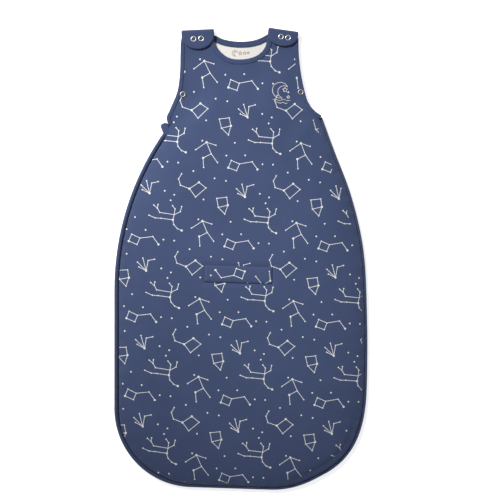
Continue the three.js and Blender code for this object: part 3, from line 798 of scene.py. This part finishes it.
def metal_material(name, color, roughness, metallic=1.0):
    material = new_material(name, color, roughness, metallic)
    nodes = Nodes(material.node_tree)
    shader = shader_of(material)
    place = nodes.add("ShaderNodeTexCoord").outputs["Object"]
    worn = nodes.noise(place, 700.0, 4.0, 0.65)
    dark = tuple(c * 0.8 for c in color)
    nodes.set(shader["Base Color"], nodes.mix(nodes.span(worn, 0.3, 0.7), (*dark, 1), (*color, 1)))
    nodes.set(shader["Roughness"], nodes.span(worn, 0.3, 0.75, roughness - 0.08, roughness + 0.12))
    nodes.set(shader["Normal"], nodes.bump(nodes.noise(place, 2200.0), 0.15, 0.05))
    return material


PRINT = printed_cloth()
PLAIN = plain_cloth("navy plain cotton", NAVY)
TRIM = plain_cloth("navy binding", NAVY_TRIM, 0.8, 0.25)
LINING = plain_cloth("ivory jersey", IVORY, 1.1, 0.25, 0.15)
# The zip tape's navy is lifted 1.35 times above the trim's. This is painted fill light, so the shaded zip groove reads
# less dark; the belt slot's welts and strips share it.
TAPE_PAINTED_LIGHTER = plain_cloth("zip tape", tuple(c * 1.35 for c in NAVY_TRIM), 1.4, 0.3, 0.1)
THREAD = plain_cloth("navy thread", tuple(c * 1.25 for c in NAVY_TRIM), 0.5, 0.1)
WHITE_THREAD = plain_cloth("white thread", PRINT_WHITE, 0.6, 0.2)
INK = plain_cloth("taupe ink", TAUPE, 1.1, 0.1)
# The coil's mid blue is lighter than the navy trim as painted fill light, so the shaded zip groove reads less dark.
COIL = metal_material("zip coil", (0.085, 0.11, 0.205), 0.5, 0.0)
ENAMEL = metal_material("navy enamel", (0.05, 0.07, 0.15), 0.35, 0.5)
SNAP = metal_material("pale nickel", (0.74, 0.70, 0.62), 0.34)
UNDERARM_SNAP = metal_material("brushed nickel", (0.50, 0.47, 0.42), 0.42)


# ---- panels
def declare(obj, replaced, body=None):
    """Hides the frame parts that a piece stands for and puts it on the body it rides on."""
    if replaced:
        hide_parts(*replaced)
    if body:
        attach(obj, body)
    return obj


def bend_with_corner(obj):
    """Bakes the placement of cloth that crosses the corner's fold into its points; it is put on no body."""
    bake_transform(obj)


def belt_slot_hole():
    """The harness slot's outline, from the frame's back panel."""
    loops = [loop for loop in rims("back_outer_shell")[1:] if perimeter(loop) > 150]
    return straight_runs(closed(tidy_loop(loops[0])), 3.0)


def front_quilt():
    upper = outline_points(FRONT_RUNS[FRONT_CLOSED_AT + 1 : FRONT_ZIP_AT - 1])
    cloth = Cloth(np.vstack([CLOSED_RIM[:-1], upper, ZIP_RIM]), [belt_slot_hole()])
    top = front_top(cloth.points)
    zip_side = off_line(cloth.points, ZIP_RIM)
    full = ease((zip_side - 8) / 8)
    thickness = WELT + (QUILT - WELT) * full

    def place(points, offset):
        return np.column_stack([points, top - thickness / 2 + offset])

    side, along = near_line(cloth.points, [CLOSED_RIM])
    strip = 6.0 + 6.0 * ease((along + 50) / 60) * (1 - ease((along - 150) / 150)) + 5.0 * ease((along - 560) / 60)
    foot = (cloth.points[:, 0] > -150) & (cloth.points[:, 1] < -330) & (zip_side < 6)
    materials = [PRINT, PLAIN, LINING]
    at = print_place(cloth.points)
    obj = quilt("front_quilt", cloth, place, thickness, 3.0 + 2.0 * full, materials, at, (side < strip) | foot)
    declare(obj, [
        "front_outer_shell", "front_padding", "front_lining", "corner_outer_shell", "corner_padding", "corner_lining"])
    bend_with_corner(obj)


def back_quilt():
    cloth = Cloth(outline_points(BACK_RUNS), [belt_slot_hole()])
    ripple = 0.25 * hum(cloth.points, 30, 4.0)

    def place(points, offset):
        lift = np.where(offset > 0, ripple * ease((cloth.edge - 24) / 16), 0)
        return np.column_stack([points, QUILT / 2 + offset + lift])

    obj = quilt("back_quilt", cloth, place, QUILT, 4.5, [LINING, PRINT], print_place(cloth.points))
    declare(obj, ["back_outer_shell", "back_padding", "back_lining"], "bag")


# ---- edges, bindings and stitching
def waves(line, broad, broad_pitch, fine, fine_pitch):
    """The unevenness of a sewn edge: two waves along a line, each with a height and a pitch."""
    along = lengths(line)
    return broad * np.sin(along / broad_pitch) + fine * np.sin(along / fine_pitch + 1)


def binding(name, line, heights, width, replaced, above=1.3, under=0.0):
    """A folded strip over an edge: a flat rounded band on top that turns down over the edge."""
    section = [
        (-0.4, -under - 2.2), (-0.6, -0.9), (-0.2, above * 0.7), (0.9, above + 0.25), (width * 0.35, above + 0.35),
        (width * 0.7, above + 0.15), (width - 0.9, above - 0.05), (width, above - 0.7), (width - 0.1, -0.6),
        (width - 1.0, -1.0), (1.2, -1.2), (0.3, -2.4),
    ]
    wave = waves(line, 0.18, 3.1, 0.12, 1.7)
    obj = sweep(name, line, heights + wave, section, TRIM)
    return declare(obj, replaced, "bag")


def stitches(name, line, heights, body="bag", length=2.5, gap=1.1, radius=0.28):
    """A row of raised stitches along a plan line."""
    along = lengths(line)
    track = np.column_stack([line, inward(line), heights])
    rings = ((0.0, 0.25), (0.12, 0.85), (0.5, 1.0), (0.88, 0.85), (1.0, 0.25))
    points, faces, at = [], [], []
    for start in np.arange(1.0, along[-1] - length - 0.5, length + gap):
        faces += tube_faces(len(points), len(rings), 6)
        for share, size in rings:
            s = start + share * length
            x, y, nx, ny, z = read_along(track, along, s)[0]
            z += 0.12 * math.sin(math.pi * share)
            for k in range(6):
                angle = math.pi * k / 3
                out, up = radius * size * math.cos(angle), radius * size * math.sin(angle)
                points.append((x + nx * out, y + ny * out, z + up))
                at.append((s, k * 0.2))
    return declare(closed_mesh(name, points, faces, THREAD, at), [], body)


def trimmed(line, start, end):
    """The stretch of an open line between two distances along it; a negative end counts from the far end."""
    along = lengths(line)
    stop = end if end > 0 else along[-1] + end
    return read_along(line, along, np.linspace(start, stop, int((stop - start) / SWEEP_STEP) + 1))


def front_stitches(name, line, depth, above):
    """A row of stitches on the front, inside a line on it."""
    row = inset(line, depth)
    stitches(name, row, front_top(row) + above)


def neck_and_armholes():
    neck = trimmed(smooth(FRONT_NECK, 2.0), 1, -1)
    binding("front_neck_binding_roll", neck, front_top(neck), 9.5, ["front_neck_binding"])
    front_stitches("front_neck_stitching", neck, 8.3, 1.25)
    back = run_near(BACK_RUNS, 0, 420)
    back_line = trimmed(smooth(back[np.abs(back[:, 0]) < 60], 2.4), 1.0, -1.0)
    heights = np.full(len(back_line), QUILT)
    binding("back_neck_binding_roll", back_line, heights, 11.5, ["back_neck_binding"], 1.4, 2.0)
    row = inset(back_line, 10.2)
    stitches("back_neck_stitching", row, np.full(len(row), QUILT + 1.3))
    for side in SIDES:
        front_run, back_run = (run_near(runs, *(UNDERARMS[side] + [0, 20])) for runs in (FRONT_RUNS, BACK_RUNS))
        if side == "left":  # here the armhole ends at the zip
            front_run, back_run = np.vstack([front_run, ZIP_RIM[:1]]), np.vstack([back_run, OUTER_ZIP[:1]])
        line = trimmed(smooth(front_run, 2.0), 1, -0.5)
        binding(f"{side}_armhole_roll_front", line, front_top(line), 7.5, [f"{side}_armhole_binding_front"], 1.1)
        front_stitches(f"{side}_armhole_stitching", line, 6.5, 1.0)
        line = trimmed(smooth(back_run, 2.4), 1, -0.5)
        heights = np.full(len(line), QUILT - 0.2)
        binding(f"{side}_armhole_roll_back", line, heights, 7.5, [f"{side}_armhole_binding_back"], 1.0, 1.8)


def side_band():
    """The rolled band outside the zip, from the underarm round to the foot."""
    top = top_of("zip_side_band")
    section = [
        (1.6, 0.7), (0.3, 2.0), (-0.5, 4.6), (-0.5, 7.4), (0.1, 10.0), (1.4, 12.0), (2.6, top), (4.0, top),
        (5.4, top - 0.6), (6.6, top - 1.6), (7.6, top - 3.0), (BAND, top - 4.7), (BAND, top - 6.2), (6.8, top - 6.6),
        (4.6, 5.0), (4.4, 2.0), (3.4, 0.7),
    ]
    line = trimmed(OUTER_ZIP, 0.5, -0.01)
    wave = waves(line, 0.22, 9.0, 0.15, 4.1)
    obj = sweep("zip_band_roll", line, wave, section, TRIM, taper=0.6)
    declare(obj, ["zip_side_band"], "bag")
    row = inset(line, 5.0)
    stitches("zip_band_stitching", row, np.interp(lengths(row), lengths(line), wave) + top - 0.5)


def closed_seam():
    """The roll of the plain seam on the other side."""
    top = top_of("closed_side_piping")
    section = [
        (1.8, 0.5), (0.3, 1.8), (-0.3, 4.6), (-0.3, 7.4), (0.2, 9.8), (1.3, 11.8), (2.8, top - 0.4), (4.2, top - 0.9),
        (5.6, top - 1.8), (6.6, top - 3.2), (6.5, top - 5.0), (5.0, 6.6), (4.1, 5.4), (3.9, 1.6), (3.2, 0.5),
    ]
    first, second = OUTER_CLOSED[:2]
    overlap = first + (first - second) / np.linalg.norm(first - second) * 2.0
    line = trimmed(np.vstack([overlap, OUTER_CLOSED]), 0.01, -0.6)  # it starts on the zip band's end
    wave = waves(line, 0.25, 11.0, 0.15, 5.3)
    widths = 1 + 0.25 * (seam_depth(lengths(line)) / SEAM_INSET - 1)
    obj = sweep("closed_seam_roll", line, wave, section, TRIM, taper=0.6, widths=widths)
    declare(obj, ["closed_side_piping"], "bag")


# ---- zip
def zip_tapes():
    line = trimmed(OUTER_ZIP, 2, -1)
    flat = np.full(len(line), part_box("zip_tape_back")[0].z / MM)
    back = sweep("zip_back_tape", line, flat, rounded(7.8, 0.6, 0.25, ZIP_LINE - 8.0), TAPE_PAINTED_LIGHTER)
    declare(back, ["zip_tape_back"], "bag")
    front = sweep("zip_front_tape", line, flat, rounded(7.8, 0.6, 0.25, ZIP_LINE + 0.2), TAPE_PAINTED_LIGHTER)
    declare(front, ["zip_tape_front", "zip_tape_front_upper_end", "zip_tape_front_lower_end"])
    bend_with_corner(front)


def zip_coil(name, side, replaced, bends):
    """One side's row of coil turns: side is -1 outside the chain's line and 1 inside it."""
    start, stop = 7.0, ZIP_LENGTH - 22.0
    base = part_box("zip_coil_back")[0].z / MM + 0.95
    line = resample(OUTER_ZIP, 1.0)
    along, track = lengths(line), np.column_stack([line, inward(line)])
    rings = ((-2.3, 0.4), (-2.0, 0.85), (0.35, 1.0), (0.75, 0.8), (0.9, 0.3))
    points, faces, at = [], [], []
    for s in np.arange(start, stop, COIL_PITCH) + (COIL_PITCH / 2 if side > 0 else 0):
        x, y, nx, ny = read_along(track, along, s)[0]
        faces += tube_faces(len(points), len(rings), 8)
        for reach, size in rings:
            depth = ZIP_LINE - side * reach
            for k in range(8):
                angle = math.pi * k / 4
                slide, up = 0.62 * size * math.cos(angle), 0.8 * size * math.sin(angle)
                points.append((x + nx * depth + ny * slide, y + ny * depth - nx * slide, base + up))
                at.append((s, k * 0.3))
    obj = closed_mesh(name, points, faces, COIL, at)
    declare(obj, replaced, None if bends else "bag")
    if bends:
        bend_with_corner(obj)


def bevelled(node, body, material, width, name):
    """A finer copy of a frame node with its edges rounded."""
    obj = frame["nodes"][node].copy()
    obj.data = obj.data.copy()
    obj.name = name
    obj.parent = None
    for key in list(obj.keys()):
        del obj[key]
    bpy.context.scene.collection.objects.link(obj)
    repaint(obj, material)
    weld = obj.modifiers.new("weld", "WELD")
    weld.merge_threshold = 0.02 * MM
    bevel = obj.modifiers.new("bevel", "BEVEL")
    bevel.width = width * MM
    bevel.segments = 3
    bevel.limit_method = "ANGLE"
    bevel.angle_limit = math.radians(35)
    apply_modifiers(obj)
    obj.data.polygons.foreach_set("use_smooth", [True] * len(obj.data.polygons))
    declare(obj, [node], body)


def repaint(obj, material):
    obj.data.materials.clear()
    obj.data.materials.append(material)


def apply_modifiers(obj):
    depsgraph = bpy.context.evaluated_depsgraph_get()
    mesh = bpy.data.meshes.new_from_object(obj.evaluated_get(depsgraph))
    obj.modifiers.clear()
    obj.data = mesh


def zip_hardware():
    for end in ("upper", "lower"):
        for node, body, width, name in (
            ("slider", "zip_slider", 0.35, "slider_casting"), ("slider_underplate", "zip_slider", 0.3, "slider_plate"),
            ("zip_pull", "pull", 0.3, "pull_tab"),
        ):
            bevelled(f"{end}_{node}", f"{end}_{body}", ENAMEL, width, f"{end}_{name}")
    for stop in ("zip_top_stop", "zip_bottom_stop"):
        bevelled(stop, "bag", ENAMEL, 0.4, f"{stop}_crimp")


def zip_garage():
    dense = rounded_loop(tidy_loop(rims("zip_garage")[0]), 6)
    cloth = Cloth(dense, step=2.0, rings=(0.5, 1.1))
    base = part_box("zip_garage")[0].z / MM + 1.7
    bulge = 0.9 * arch(cloth.edge, 5.0)

    def place(points, offset):
        return np.column_stack([points, base + offset + np.where(offset > 0, bulge, 0)])

    obj = quilt("zip_garage_tab", cloth, place, GARAGE, 1.4, [TRIM], cloth.points - middle("zip_garage"))
    declare(obj, ["zip_garage"], "garage")
    row = inset_loop(dense, 2.0)
    stitches("zip_garage_stitching", row, np.full(len(row), base + 1.9), "garage", length=1.8, gap=0.9)


def rounded_loop(loop, spread):
    """A closed outline with its corners softened, as evenly spaced points."""
    dense = resample(closed(loop), 1.0)[:-1]
    return sum(np.roll(dense, k, axis=0) for k in range(-spread, spread + 1)) / (2 * spread + 1)


def inset_loop(loop, distance):
    """A closed line moved in, without the loops that tight corners leave."""
    line = closed(loop)
    moved = inset(line, distance)
    return resample(moved[off_line(moved, line) > distance * 0.93], 1.2)


# ---- shoulder flaps
def shoulder_flap(side):
    """A D-shaped flap that comes up from the back strap, folds over and lies on the front."""
    hinge, right = hinge_of(f"{side}_shoulder_flap_open")
    up = np.array([-right[1], right[0]])
    node = f"{side}_shoulder_flap"
    mid = top_of(node) - FLAP / 2  # height of the cloth's middle on the front
    local = (tidy_loop(rims(node)[0]) - hinge[:2]) @ np.column_stack([right, up])
    local = local[local[:, 1] < -1.0]
    dish = local[np.argsort(np.arctan2(local[:, 1], local[:, 0]))]
    left_end, right_end = dish[0], dish[-1]
    reach_out, reach_up = 4.0, (mid - FLAP_FOOT) / 2
    turn = math.pi * math.sqrt((reach_out ** 2 + reach_up ** 2) / 2)  # length of cloth round the fold
    tail = turn + 7.0
    dish = smooth(dish, 2.0)
    sides = straight_runs([right_end, (right_end[0], tail), (left_end[0], tail), left_end], 2.0)
    cloth = Cloth(np.vstack([dish[:-1], sides]), step=2.4, rings=(0.5, 1.2, 2.2))
    crown = 0.9 * arch(cloth.edge, 14) - 0.9

    def in_plan(u, v):
        return hinge[:2] + np.outer(u, right) + np.outer(v, up)

    def place(points, offset):
        u, w = points[:, 0], points[:, 1]
        angle = math.pi / 2 - np.clip(w / turn, 0, 1) * math.pi
        v = np.where(w < 0, w, reach_out * np.cos(angle) - np.maximum(w - turn, 0))
        z = np.where(w < 0, mid + crown, FLAP_FOOT + reach_up + (reach_up + crown * (w < 3)) * np.sin(angle))
        nv, nz = np.where(w < 0, 0, np.cos(angle)), np.where(w < 0, 1, np.sin(angle))
        return np.column_stack([in_plan(u, v + nv * offset), z + nz * offset])

    obj = quilt(f"{side}_shoulder_flap_cloth", cloth, place, FLAP, 3.0, [TRIM])
    declare(obj, [node])
    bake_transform(obj)
    row = in_plan(*inset(dish[dish[:, 1] < -4], 2.6).T)
    stitches(f"{side}_flap_stitching", row, np.full(len(row), mid + 1.25), f"{side}_flap", length=2.0, gap=1.0)


# ---- snaps
def lathe(name, centre, profile, material, sides=40):
    """A closed profile of (radius, height) points turned about an upright line."""
    x, y, z = centre
    k = len(profile)
    points = [(x + radius * math.cos(angle), y + radius * math.sin(angle), z + height)
              for angle in (2 * math.pi * i / sides for i in range(sides)) for radius, height in profile]
    faces = [(i * k + j, i * k + (j + 1) % k, (i + 1) % sides * k + (j + 1) % k, (i + 1) % sides * k + j)
             for i in range(sides) for j in range(k)]
    return closed_mesh(name, points, faces, material, [(0, 0)] * len(points))


def ring_profile(inner, outer, height):
    """A round-topped ring whose wall rolls down at both edges."""
    middle_radius, half = (inner + outer) / 2, (outer - inner) / 2
    arc = [(middle_radius + half * math.cos(t), height * 0.35 + height * 0.65 * math.sin(t))
           for t in np.linspace(0, math.pi, 11)]
    return arc + [(inner, -0.3), (outer, -0.3)]


def snaps():
    for side in SIDES:
        for i in (1, 2):
            snap(f"{side}_shoulder_snap_{i}", f"{side}_flap", SNAP, top_of(f"{side}_shoulder_flap"))
        snap(f"{side}_underarm_snap", "bag", UNDERARM_SNAP, front_top(UNDERARMS[side][None])[0] + 1.2)


def snap(label, body, material, height):
    """A snap's ring and cloth-covered middle; its hidden halves stay the frame's own, in metal."""
    for part in ("socket", "stud"):
        repaint(frame["nodes"][f"{label}_{part}"], material)
    x, y = middle(f"{label}_cap")
    ring = lathe(f"{label}_ring", (x, y, height), ring_profile(SNAP_HOLE, SNAP_OUTER, 1.3), material)
    declare(ring, [f"{label}_cap"], body)
    dimple = [(0.01, -0.5), (SNAP_HOLE + 0.3, -0.5), (SNAP_HOLE + 0.2, 0.15), (2.2, 0.42), (1.1, 0.58), (0.01, 0.62)]
    button = lathe(f"{label}_cloth", (x, y, height), dimple, TRIM, 28)
    declare(button, [], body)


# ---- belt slot
BELT_PRINT = np.array([51.2, -72.6])  # the cover is cut from the same cloth, upside down


def belt_parts():
    loop = closed(tidy_loop(rims("belt_flap")[0]))
    cloth = Cloth(straight_runs(loop, 2.2), step=3.0, rings=(0.5, 1.1, 2.0))
    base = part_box("belt_flap")[0].z / MM - 0.2
    droop = 2.4 * (1 - arch(cloth.edge, 9.0))

    def place(points, offset):
        return np.column_stack([points, base + 1.0 + offset - droop])

    obj = quilt("belt_flap_cloth", cloth, place, COVER, 3.2, [PRINT, TRIM], print_at=BELT_PRINT - cloth.points)
    declare(obj, ["belt_flap"], "belt_cover")
    along = np.array([1, math.tan(BELT_TILT)])
    for sign in (-1, 1):
        for step_in in (6.0, 8.2):
            foot = BELT + along * sign * (65 - step_in)
            row = resample(np.array([foot + [0, -14], foot + [0, 14]]), 2.0)
            name = f"belt_flap_stitching_{sign + 2}_{int(step_in)}"
            stitches(name, row, np.full(len(row), base + 1.75), "belt_cover")
    for name in ("belt_slot_welt_front", "belt_slot_welt_back", "belt_flap_loop_strip", "belt_flap_hook_strip"):
        bevelled(name, frame["nodes"][name]["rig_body"], TAPE_PAINTED_LIGHTER, 0.3, f"{name}_cloth")


# ---- emblem and neck mark
EMBLEM_AT = np.array([78.0, 320.0])
NECK_MARK_AT = np.array([-1.0, 397.5])


def thread(name, line, heights, radius, material):
    """A thin round thread laid on the bag along a closed or open line."""
    section = [(radius * math.cos(2 * math.pi * k / 8), radius * 0.7 * math.sin(2 * math.pi * k / 8))
               for k in range(8)]
    declare(sweep(name, line, heights, section, material), [], "bag")


def crescent(centre, radius, share=0.78, shift=0.5):
    """The outline of a moon: an outer arc and a shallower inner arc."""
    tips = math.acos((1 - share ** 2 + shift ** 2) / (2 * shift))
    inner_tips = math.acos((1 - share ** 2 - shift ** 2) / (2 * shift * share))
    outer = [(math.cos(t), math.sin(t)) for t in np.linspace(tips, 2 * math.pi - tips, 40)]
    inner = [(shift + share * math.cos(t), share * math.sin(t))
             for t in np.linspace(2 * math.pi - inner_tips, inner_tips, 30)]
    points = np.array(outer + inner[1:])
    turn = math.radians(-25)
    spin = np.array([[math.cos(turn), math.sin(turn)], [-math.sin(turn), math.cos(turn)]])
    return np.array(centre) + radius * points @ spin


def star(centre, radius):
    """The outline of a five-pointed star."""
    angles = np.radians(np.arange(11) * 36 + 90)
    sizes = np.where(np.arange(11) % 2 == 0, radius, radius * 0.45)
    corners = np.column_stack([np.cos(angles) * sizes, np.sin(angles) * sizes]) + centre
    return resample(corners, 0.8)


def emblem():
    """A moon, two stars and two waves, embroidered on the chest."""
    at = EMBLEM_AT
    lines = {
        "moon": resample(closed(crescent(at + [-2, 4], 15.5)), 0.9),
        "large_star": resample(closed(star(at + [7, 5], 5.2)), 0.9),
        "small_star": resample(closed(star(at + [13, -9], 3.4)), 0.9),
    }
    for i, width in enumerate((17, 11)):
        wave = np.column_stack([np.linspace(-width, width, 40), 1.2 * np.sin(np.linspace(0, 4 * math.pi, 40))])
        lines[f"wave_{i + 1}"] = at + [0, -15 - 5.5 * i] + wave
    for label, line in lines.items():
        thread(f"embroidered_{label}", line, front_top(line) + 0.25, 0.5, WHITE_THREAD)


def neck_mark():
    """A moon and three stars printed inside the neck."""
    at = NECK_MARK_AT
    height = QUILT + 0.35
    moon = resample(closed(crescent(at + [-11, 0], 5.4)), 0.6)
    thread("neck_mark_moon", moon, np.full(len(moon), height), 0.75, INK)
    for i, x in enumerate((-1.0, 7.5, 14.5)):
        line = star(at + [x, 0.5 * i], 3.9 - 0.6 * i)
        thread(f"neck_mark_star_{i + 1}", line, np.full(len(line), height), 0.7, INK)


# ---- studio
def studio():
    """A wide pale floor, a plain sky, one soft lamp and a camera straight above. Metres, not millimetres."""
    mesh = bpy.data.meshes.new("floor")
    half = 40.0
    mesh.from_pydata([(-half, -half, 0), (half, -half, 0), (half, half, 0), (-half, half, 0)], [], [(0, 1, 2, 3)])
    floor = add_object("floor", mesh)
    floor.location.z = -0.0004
    table = new_material("pale floor", (0.78, 0.78, 0.78), 0.9)
    shader_of(table)["Emission Color"].default_value = (1, 1, 1, 1)
    shader_of(table)["Emission Strength"].default_value = 0.66
    mesh.materials.append(table)
    world = bpy.data.worlds.new("studio")
    world.use_nodes = True
    sky = world.node_tree.nodes["Background"].inputs
    sky["Color"].default_value = (0.97, 0.98, 1.0, 1)
    sky["Strength"].default_value = 0.36
    bpy.context.scene.world = world
    bpy.context.scene.view_settings.view_transform = "Standard"
    soft_light((-1.05, 1.25, 1.95), (0.0, 0.09, 0), 0.3, math.radians(33), 370)
    camera = bpy.data.cameras.new("camera")
    camera.sensor_width = 36
    camera.lens = 100
    seen = 0.965  # width of the picture at the bag
    holder = add_object("camera", camera)
    holder.location = (0.0173, 0.0164, seen * camera.lens / camera.sensor_width + 0.014)
    bpy.context.scene.camera = holder


def soft_light(at, aim, radius, angle, power):
    """A large soft lamp whose beam fades out towards its edge."""
    light = bpy.data.lights.new("key", "SPOT")
    light.shadow_soft_size = radius
    light.spot_size = angle
    light.spot_blend = 1.0
    light.energy = power
    obj = add_object("key", light)
    obj.location = at
    obj.rotation_euler = (Vector(aim) - Vector(at)).to_track_quat("-Z", "Y").to_euler()


# ---- the whole bag
studio()
front_quilt()
back_quilt()
neck_and_armholes()
side_band()
closed_seam()
zip_tapes()
zip_coil("zip_back_coil", -1, ["zip_coil_back"], False)
zip_coil("zip_front_coil", 1, ["zip_coil_front", "zip_coil_front_upper_end", "zip_coil_front_lower_end"], True)
zip_hardware()
zip_garage()
for flap_side in SIDES:
    shoulder_flap(flap_side)
snaps()
belt_parts()
emblem()
neck_mark()
